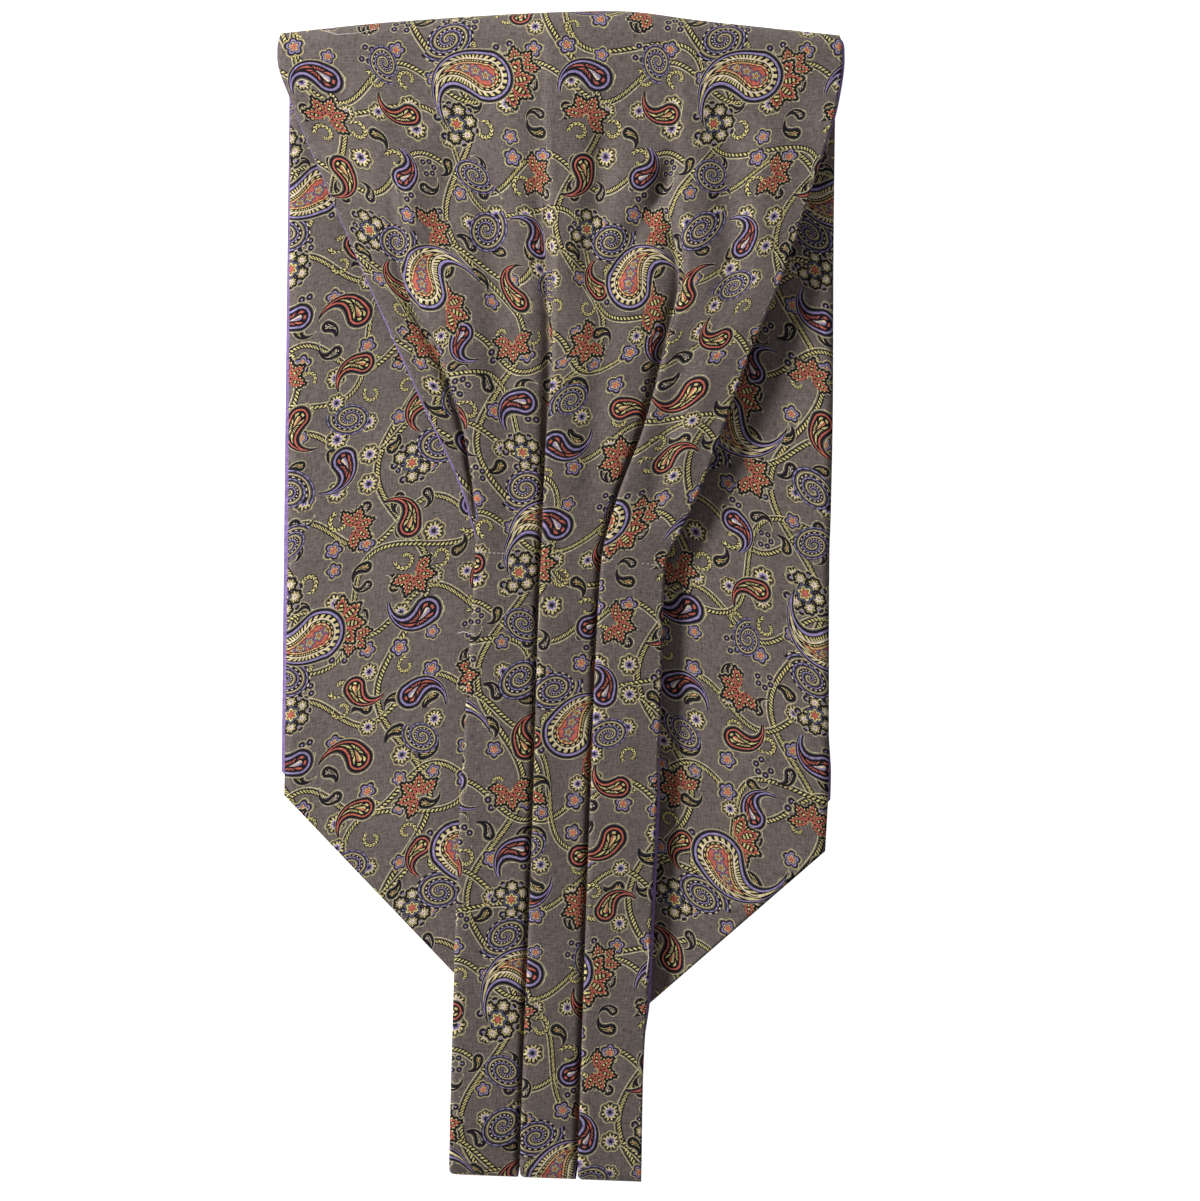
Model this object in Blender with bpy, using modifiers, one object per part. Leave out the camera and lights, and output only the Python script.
"""A pleated day cravat, folded in half along its neckband, folded back once more and laid flat.

Each half is one length of printed cotton backed with a plain lining: a broad pointed blade that is
pleated down to a narrow neckband. The front half lies print up from the neckband's end to the soft
fold at the top, turns under there and runs back down as the under blade, print down. The second
half lies inside it, and its blade comes out on top of the under blade as the one that shows.
"""

import math
from collections import namedtuple

import bpy

MM = 0.001

# Sizes in millimetres: x to the right, y up the cravat from the middle of its length, z up.
CLOTH = 1.0  # thickness of every layer of cloth
GAP = 0.3  # clearance between layers that lie on each other
LAYER = CLOTH + GAP

# The front half's two hems, from the top fold to the end of the neckband. top is the cloth's upper face.
Hem = namedtuple("Hem", "y x top")
HEM_LEFT = [
    Hem(158.5, -79.0, 9.5),
    Hem(151.2, -79.2, 9.8),
    Hem(139.2, -75.6, 10.2),
    Hem(113.7, -65.0, 10.2),
    Hem(88.2, -54.0, 9.8),
    Hem(55.2, -38.9, 9.2),
    Hem(24.4, -25.5, 8.8),
    Hem(10.4, -22.6, 8.9),
    Hem(-138.0, -29.0, 8.7),
    Hem(-158.0, -29.4, 7.1),
]
HEM_RIGHT = [
    Hem(158.5, 78.3, 9.5),
    Hem(151.2, 78.6, 9.9),
    Hem(139.2, 77.2, 11.2),
    Hem(113.7, 69.8, 12.6),
    Hem(88.2, 61.2, 13.0),
    Hem(68.6, 52.9, 12.6),
    Hem(34.4, 40.6, 10.4),
    Hem(18.5, 33.6, 9.6),
    Hem(9.2, 29.1, 9.1),
    Hem(-33.0, 27.7, 9.0),
    Hem(-97.2, 24.9, 9.0),
    Hem(-138.0, 22.8, 8.7),
    Hem(-158.0, 22.5, 7.1),
]

# Three knife pleats, each lying over the one on its left. x is the edge of the fold, top the
# height of the cloth there, and closed runs from 0 for open cloth to 1 for a pressed pleat.
Fold = namedtuple("Fold", "y x top closed")
PLEAT_LEFT = [
    Fold(158.5, -46.0, 13.0, 0.0),
    Fold(120.0, -43.5, 13.0, 0.05),
    Fold(91.6, -41.2, 12.6, 0.25),
    Fold(59.9, -30.8, 12.3, 0.7),
    Fold(40.9, -26.3, 12.2, 0.9),
    Fold(18.8, -23.9, 12.0, 1.0),
    Fold(-5.9, -25.2, 11.9, 1.0),
    Fold(-65.2, -28.6, 11.9, 1.0),
    Fold(-138.0, -30.9, 11.6, 1.0),
    Fold(-158.0, -31.4, 10.0, 1.0),
]
PLEAT_MIDDLE = [
    Fold(158.5, -4.0, 16.0, 0.05),
    Fold(130.8, -3.4, 16.2, 0.12),
    Fold(92.1, -1.7, 15.4, 0.45),
    Fold(70.8, -2.2, 14.6, 0.6),
    Fold(38.6, -4.5, 13.0, 0.88),
    Fold(18.8, -5.3, 12.1, 1.0),
    Fold(-5.9, -6.4, 11.9, 1.0),
    Fold(-65.2, -8.1, 11.9, 1.0),
    Fold(-138.0, -10.9, 11.6, 1.0),
    Fold(-158.0, -11.6, 10.0, 1.0),
]
PLEAT_RIGHT = [
    Fold(158.5, 33.0, 14.8, 0.0),
    Fold(120.0, 33.0, 15.2, 0.1),
    Fold(92.1, 34.7, 15.4, 0.5),
    Fold(70.8, 29.4, 14.8, 0.68),
    Fold(47.3, 23.0, 13.6, 0.85),
    Fold(26.9, 15.4, 12.4, 0.97),
    Fold(8.7, 11.1, 11.9, 1.0),
    Fold(-65.2, 7.8, 11.9, 1.0),
    Fold(-138.0, 5.3, 11.6, 1.0),
    Fold(-158.0, 4.6, 10.0, 1.0),
]
PLEATS = (PLEAT_LEFT, PLEAT_MIDDLE, PLEAT_RIGHT)

# How a pleat closes: open cloth rises over a wide soft bend, a pressed one doubles back on itself.
OPEN_TURN, PRESSED_TURN = math.radians(15), math.radians(180)
OPEN_RADIUS, PRESSED_RADIUS = 5.0, 0.7
OPEN_RUN, PRESSED_RUN = 0.6, 5.5
LEAN = math.radians(10)  # pressed pleats lean like shingles
BEND_PARTS = 3

# Points along a strip of cloth from one pleat to the next, and their layer in the neckband's end
# fold: a strip leaves its own pleat as the outer layer and reaches the next one as the inner.
Station = namedtuple("Station", "share layer")
STRIP = [Station(0.3, 2), Station(0.58, 2), Station(0.66, 0)]

# The soft fold at the top, seen from above.
Edge = namedtuple("Edge", "x y")
TOP_EDGE = [
    Edge(-79.0, 158.5),
    Edge(-48.0, 161.4),
    Edge(0.0, 164.0),
    Edge(15.0, 164.3),
    Edge(40.0, 161.6),
    Edge(79.0, 157.8),
]
FOLD_START = 153.8  # where the top fold meets the falls at the hems
FALL_END = 10.4  # where the fall has closed into the neckband
FALL_ROWS, TURN_ROWS, BAND_ROWS = 20, 8, 14
CURVE_FADE = 60.0  # the top fold's curve has straightened out this far below it

# The neckband's end: the cloth turns under about a line that runs slightly downhill to the right.
END_Y, END_SLOPE = -158.9, -0.04
END_HEIGHT = 5.0  # of that line above the floor
END_REACH = 1.2  # of the innermost layer beyond it
NEST = 2 * PRESSED_RADIUS  # from one layer of a pressed pleat to the next

# How far the lining shows beside the front half's hems.
Peek = namedtuple("Peek", "y left right")
LINING_PEEK = [
    Peek(158.5, 0.3, 0.9),
    Peek(139.0, 0.2, 0.6),
    Peek(115.0, 0.2, 0.1),
    Peek(55.0, 0.5, 0.1),
    Peek(24.0, 0.6, 0.1),
    Peek(5.0, 0.0, 0.1),
    Peek(-80.0, 0.0, 0.5),
    Peek(-120.0, 0.0, 0.1),
]

# Outlines of the two blades: the x of their sides at the top fold, then (x, y) round to the tip.
Blade = namedtuple("Blade", "top_left top_right right_belly right_corner tip left_corner left_belly")
TOP_BLADE = Blade(-76.0, 77.2, (76.2, 24.0), (74.2, -71.4), (-0.8, -136.4), (-77.8, -55.7), (-76.7, 24.0))
UNDER_BLADE = Blade(-76.3, 77.2, (76.0, 10.0), (76.2, -56.0), (-1.5, -130.0), (-78.6, -49.0), (-78.3, -16.0))
HEM_INSET = 0.3  # the under blade's print lies this far inside its lining
BLADE_START = 0.6  # the blades begin this far below the top fold's centre line
BLADE_TOP_PARTS = 16

# The second half's hidden layers, under the falls and the neckband.
Inset = namedtuple("Inset", "y side")
HIDDEN_INSET = [
    Inset(164.0, 2.0),
    Inset(150.0, 3.0),
    Inset(120.0, 5.5),
    Inset(50.0, 4.0),
    Inset(12.0, 1.2),
    Inset(-158.0, 1.2),
]
HIDDEN_TURN = (86, 70, 48, 24)  # degrees round the top fold, from its front to its top
BLADE_STACK = 3 * LAYER  # height of the blades and of the lining between them, with the gap on top
TIP_CLEAR, TOUCH_DOWN = -138.5, -144.0  # past the tip the neckband comes down to the floor
HIDDEN_COLUMNS = 10
# The layered side of the hidden cloth, from its upper face to its lower one.
Ledge = namedtuple("Ledge", "depth inset")
LEDGES = [Ledge(0.08, 0.25), Ledge(0.28, 0.0), Ledge(0.5, 0.6), Ledge(0.72, 0.0), Ledge(0.92, 0.25)]

PRINT, LINING, HIDDEN = "cotton print", "lining", "folded print"
COLOURS = {
    PRINT: (0.13, 0.105, 0.095, 1),
    LINING: (0.185, 0.117, 0.255, 1),
    HIDDEN: (0.11, 0.09, 0.085, 1),
}
ROUGHNESS = 0.85


def row_at(table, key, value):
    """The table's row at a value of its key column, on a smooth curve through its rows."""
    rows = sorted(table, key=lambda row: getattr(row, key))
    keys = [getattr(row, key) for row in rows]
    value = min(max(value, keys[0]), keys[-1])
    i = max(k for k in range(len(rows) - 1) if keys[k] <= value)
    span = keys[i + 1] - keys[i]
    t = (value - keys[i]) / span

    def slope(k, column):
        if k in (0, len(rows) - 1):
            near = 1 if k == 0 else k - 1
            return (rows[k][column] - rows[near][column]) / (keys[k] - keys[near])
        before = (rows[k][column] - rows[k - 1][column]) / (keys[k] - keys[k - 1])
        after = (rows[k + 1][column] - rows[k][column]) / (keys[k + 1] - keys[k])
        return 0.0 if before * after <= 0 else 2 * before * after / (before + after)

    def smooth(column):
        a, b = rows[i][column], rows[i + 1][column]
        rise_a, rise_b = slope(i, column) * span, slope(i + 1, column) * span
        return a + t * rise_a + t * t * (3 * (b - a) - 2 * rise_a - rise_b) + t**3 * (rise_a + rise_b - 2 * (b - a))

    return type(rows[0])(*(smooth(column) for column in range(len(rows[0]))))


def mix(a, b, share):
    return a + (b - a) * share


def pleat_steps(fold):
    """(x, z, layer) of the cloth's middle from under a pleat, round its two bends, to its top."""
    turn = mix(OPEN_TURN, PRESSED_TURN, fold.closed)
    radius = mix(PRESSED_RADIUS, OPEN_RADIUS, (1 - fold.closed) ** 3)
    run = mix(OPEN_RUN, PRESSED_RUN, max(0.0, 2 * fold.closed - 1) ** 1.5)
    lean = -LEAN * fold.closed
    across = 2 * radius * math.sin(turn) + run * math.cos(turn)
    rise = 2 * radius * (1 - math.cos(turn)) + run * math.sin(turn)
    bend = []
    for part in range(BEND_PARTS + 1):
        angle = turn * part / BEND_PARTS
        bend.append((radius * math.sin(angle), radius * (1 - math.cos(angle)), part / BEND_PARTS))
    bend += [(across - x, rise - z, 2 - layer) for x, z, layer in reversed(bend)]
    end_x, end_z = fold.x + PRESSED_RADIUS + CLOTH / 2, fold.top - CLOTH / 2
    steps = []
    for x, z, layer in bend:
        back, down = across - x, rise - z
        steps.append((
            end_x - back * math.cos(lean) + down * math.sin(lean),
            end_z - back * math.sin(lean) - down * math.cos(lean),
            layer,
        ))
    return steps


def across_front(y):
    """(x, z, layer) of the front half's cloth from its left hem to its right one at height y."""
    left, right = row_at(HEM_LEFT, "y", y), row_at(HEM_RIGHT, "y", y)
    points = [(left.x, left.top - CLOTH / 2, 0)]
    stops = [pleat_steps(row_at(pleat, "y", y)) for pleat in PLEATS]
    stops.append([(right.x, right.top - CLOTH / 2, 2)])
    for number, stop in enumerate(stops):
        start, goal = points[-1], stop[0]
        for station in STRIP:
            layer = 0 if number == 0 else 2 if number == len(PLEATS) else station.layer
            points.append((mix(start[0], goal[0], station.share), mix(start[1], goal[1], station.share), layer))
        points += stop
    return points


def under_front(y):
    """(x, z) of the lining's middle below the front half at height y, from hem to hem."""
    left, right = row_at(HEM_LEFT, "y", y), row_at(HEM_RIGHT, "y", y)
    peek = row_at(LINING_PEEK, "y", y)
    corners = [(left.x - peek.left, left.top - CLOTH / 2 - LAYER)]
    for pleat in PLEATS:
        x, z, layer = pleat_steps(row_at(pleat, "y", y))[0]
        corners.append((x, z - LAYER))
    corners.append((right.x + peek.right, right.top - CLOTH / 2 - LAYER))
    points = [corners[0]]
    for (x0, z0), (x1, z1) in zip(corners, corners[1:]):
        points += [(mix(x0, x1, share), mix(z0, z1, share)) for share in (1 / 3, 2 / 3, 1)]
    return points


def fall_heights():
    """The fall's rows from the top fold to the neckband."""
    return [mix(FOLD_START, FALL_END, row / FALL_ROWS) for row in range(FALL_ROWS + 1)]


def band_heights():
    """The neckband's rows from the fall to its end."""
    return [mix(FALL_END - GAP, END_Y, row / BAND_ROWS) for row in range(BAND_ROWS + 1)]


def band_share(y):
    """How far down the neckband y is, from 0 at the fall to 1 at its end."""
    return (FALL_END - y) / (FALL_END - END_Y)


def fold_radius(top_z):
    """The top fold's radius at the print's middle, from the height of its top there."""
    return (top_z - CLOTH / 2) / 2


def fold_axis(x, top_z):
    """Where the top fold's centre line lies at x, under print whose middle is at top_z."""
    return row_at(TOP_EDGE, "x", x).y - fold_radius(top_z) - CLOTH / 2


def fall_y(x, y):
    """A fall row's own height at x: near the top the rows follow the curve of the fold."""
    top_z = print_height(x)
    lift = fold_axis(x, top_z) - FOLD_START
    share = max(0.0, 1 - (FOLD_START - y) / CURVE_FADE)
    return y + lift * share * share


def print_height(x):
    """Height of the print's middle on the top fold at x."""
    points = across_front(FOLD_START)
    x = min(max(x, points[0][0]), points[-1][0])
    for (x0, z0, _), (x1, z1, _) in zip(points, points[1:]):
        if x0 <= x <= x1:
            return mix(z0, z1, (x - x0) / (x1 - x0))


def end_axis(x):
    """Where the neckband's end fold has its centre line at x."""
    return END_Y + END_SLOPE * x




def top_fold(points, inner):
    """Rows round the top fold, from the under blade up to the fall.

    inner is the depth of this layer's middle below the print's middle.
    """
    rows = []
    low, high = points[0][0], points[-1][0]
    for step in range(TURN_ROWS):
        angle = math.pi * (step / TURN_ROWS - 0.5)
        tuck = 0.5 * (1 - math.sin(angle))
        row = []
        for x, z, *_ in points:
            share = (x - low) / (high - low)
            shift = mix(UNDER_BLADE.top_left - low, UNDER_BLADE.top_right - high, share) * tuck
            top_z = print_height(x)
            radius = fold_radius(top_z)
            reach = radius - inner
            y = fold_axis(x, top_z) + reach * math.cos(angle)
            row.append((x + shift, y, CLOTH / 2 + radius + reach * math.sin(angle)))
        rows.append(row)
    return rows


def new_object(name, data, material, place):
    thing = bpy.data.objects.new(name, data)
    data.materials.append(material)
    place.objects.link(thing)
    return thing


def cloth_wall(name, rows, material, place):
    """A wall of cloth whose middle runs through rows of (x, y, z)."""
    width = len(rows[0])
    points = [tuple(value * MM for value in point) for row in rows for point in row]
    faces = []
    for r in range(len(rows) - 1):
        for c in range(width - 1):
            first = r * width + c
            faces.append((first, first + 1, first + width + 1, first + width))
    mesh = bpy.data.meshes.new(name)
    mesh.from_pydata(points, [], faces)
    mesh.shade_smooth()
    wall = new_object(name, mesh, material, place)
    solid = wall.modifiers.new("Cloth", "SOLIDIFY")
    solid.thickness = CLOTH * MM
    solid.offset = 0
    return wall


def lofted(name, loops, material, place):
    """A closed solid through loops of (x, y, z) with equal counts, capped at both ends."""
    count = len(loops[0])
    points = [tuple(value * MM for value in point) for loop in loops for point in loop]
    faces = [tuple(range(count))]
    for r in range(len(loops) - 1):
        for c in range(count):
            a, b = r * count + c, r * count + (c + 1) % count
            faces.append((b, a, a + count, b + count))
    last = (len(loops) - 1) * count
    faces.append(tuple(reversed(range(last, last + count))))
    mesh = bpy.data.meshes.new(name)
    mesh.from_pydata(points, [], faces)
    return new_object(name, mesh, material, place)


def flat_blade(name, blade, inset, level, material, place):
    """A blade that lies flat, with its upper edge just short of the top fold."""
    outline = []
    for part in range(BLADE_TOP_PARTS + 1):
        x = mix(blade.top_left, blade.top_right, part / BLADE_TOP_PARTS)
        outline.append((x, fold_axis(x, print_height(x)) - BLADE_START))
    outline += blade[2:]
    middle = sum(x for x, y in outline) / len(outline)
    curve = bpy.data.curves.new(name, "CURVE")
    curve.dimensions = "2D"
    curve.fill_mode = "BOTH"
    curve.extrude = CLOTH / 2 * MM
    spline = curve.splines.new("POLY")
    spline.points.add(len(outline) - 1)
    for point, (x, y) in zip(spline.points, outline):
        point.co = ((x + math.copysign(inset, middle - x)) * MM, y * MM, 0, 1)
    spline.use_cyclic_u = True
    plate = new_object(name, curve, material, place)
    plate.location.z = (level * LAYER + CLOTH / 2) * MM
    return plate


def fall_rows(section, inner):
    """Rows of a front layer from the under blade, round the top fold and down to the neckband."""
    rows = top_fold(section(FOLD_START), inner)
    for y in fall_heights():
        rows.append([(point[0], fall_y(point[0], y), point[1]) for point in section(y)])
    return rows


def band_rows():
    """Rows of the neckband's print, with its end turned under."""
    rows = []
    for y in band_heights():
        rows.append([(x, y + END_SLOPE * x * band_share(y), z) for x, z, layer in across_front(y)])
    for step in range(1, TURN_ROWS + 1):
        angle = math.pi * step / TURN_ROWS
        rows.append([
            (
                x,
                end_axis(x) - (END_REACH + NEST * layer) * math.sin(angle),
                END_HEIGHT + (z - END_HEIGHT) * math.cos(angle),
            )
            for x, z, layer in across_front(END_Y)
        ])
    return rows


def band_lining_rows():
    """Rows of the lining below the neckband, ending inside the fold."""
    rows = []
    for y in band_heights():
        rows.append([(x, y + (END_SLOPE * x + GAP) * band_share(y), z) for x, z in under_front(y)])
    return rows


def hidden_loop(y, low, around=None):
    """One section of the hidden layers at height y, or at an angle around the top fold.

    low is the height of its underside.
    """
    under = under_front(y)
    inset = row_at(HIDDEN_INSET, "y", y).side
    left, right = under[0][0] + inset, under[-1][0] - inset

    def ceiling(x):
        for (x0, z0), (x1, z1) in zip(under, under[1:]):
            if x0 <= x <= x1:
                return mix(z0, z1, (x - x0) / (x1 - x0)) - CLOTH / 2 - GAP

    def point(x, depth):
        """A point of the section, from 0 on its upper face to 1 on its lower one."""
        if around is None:
            own_y = fall_y(x, y) if y >= FALL_END else y + (END_SLOPE * x + GAP) * band_share(y)
            return (x, own_y, mix(ceiling(x), low, depth))
        top_z = print_height(x)
        radius = fold_radius(top_z)
        reach = radius - 2 * LAYER
        centre = CLOTH / 2 + radius
        upper = centre + reach * math.cos(around)
        lower = max(low, centre - reach * math.cos(around))
        return (x, fold_axis(x, top_z) + reach * math.sin(around), mix(upper, lower, depth))

    columns = [mix(left, right, column / HIDDEN_COLUMNS) for column in range(HIDDEN_COLUMNS + 1)]
    loop = [point(x, 0) for x in columns[1:-1]]
    loop += [point(right - ledge.inset, ledge.depth) for ledge in LEDGES]
    loop += [point(x, 1) for x in reversed(columns[1:-1])]
    loop += [point(left + ledge.inset, ledge.depth) for ledge in reversed(LEDGES)]
    return loop


def hidden_loops():
    """Sections of the hidden layers from inside the top fold to inside the end fold."""
    loops = [hidden_loop(FOLD_START, BLADE_STACK, math.radians(angle)) for angle in HIDDEN_TURN]
    loops += [hidden_loop(y, BLADE_STACK) for y in fall_heights()]
    for y in band_heights()[1:]:
        if y > TIP_CLEAR:
            loops.append(hidden_loop(y, BLADE_STACK))
    loops.append(hidden_loop(TIP_CLEAR, BLADE_STACK))
    loops.append(hidden_loop(TOUCH_DOWN, 0.0))
    loops.append(hidden_loop(END_Y, 0.0))
    return loops


def cloth_material(name):
    material = bpy.data.materials.new(name)
    material.use_nodes = True
    shader = material.node_tree.nodes["Principled BSDF"]
    shader.inputs["Base Color"].default_value = COLOURS[name]
    shader.inputs["Roughness"].default_value = ROUGHNESS
    return material


for leftover in list(bpy.data.objects):
    bpy.data.objects.remove(leftover)
cravat = bpy.data.collections.new("cravat")
bpy.context.scene.collection.children.link(cravat)
materials = {name: cloth_material(name) for name in COLOURS}

flat_blade("under_blade", UNDER_BLADE, HEM_INSET, 0, materials[PRINT], cravat)
flat_blade("under_blade_lining", UNDER_BLADE, 0.0, 1, materials[LINING], cravat)
flat_blade("top_blade", TOP_BLADE, 0.0, 2, materials[PRINT], cravat)
cloth_wall("front_fall", fall_rows(across_front, 0.0), materials[PRINT], cravat)
cloth_wall("front_fall_lining", fall_rows(under_front, LAYER), materials[LINING], cravat)
cloth_wall("neckband", band_rows(), materials[PRINT], cravat)
cloth_wall("neckband_lining", band_lining_rows(), materials[LINING], cravat)
lofted("second_half", hidden_loops(), materials[HIDDEN], cravat)
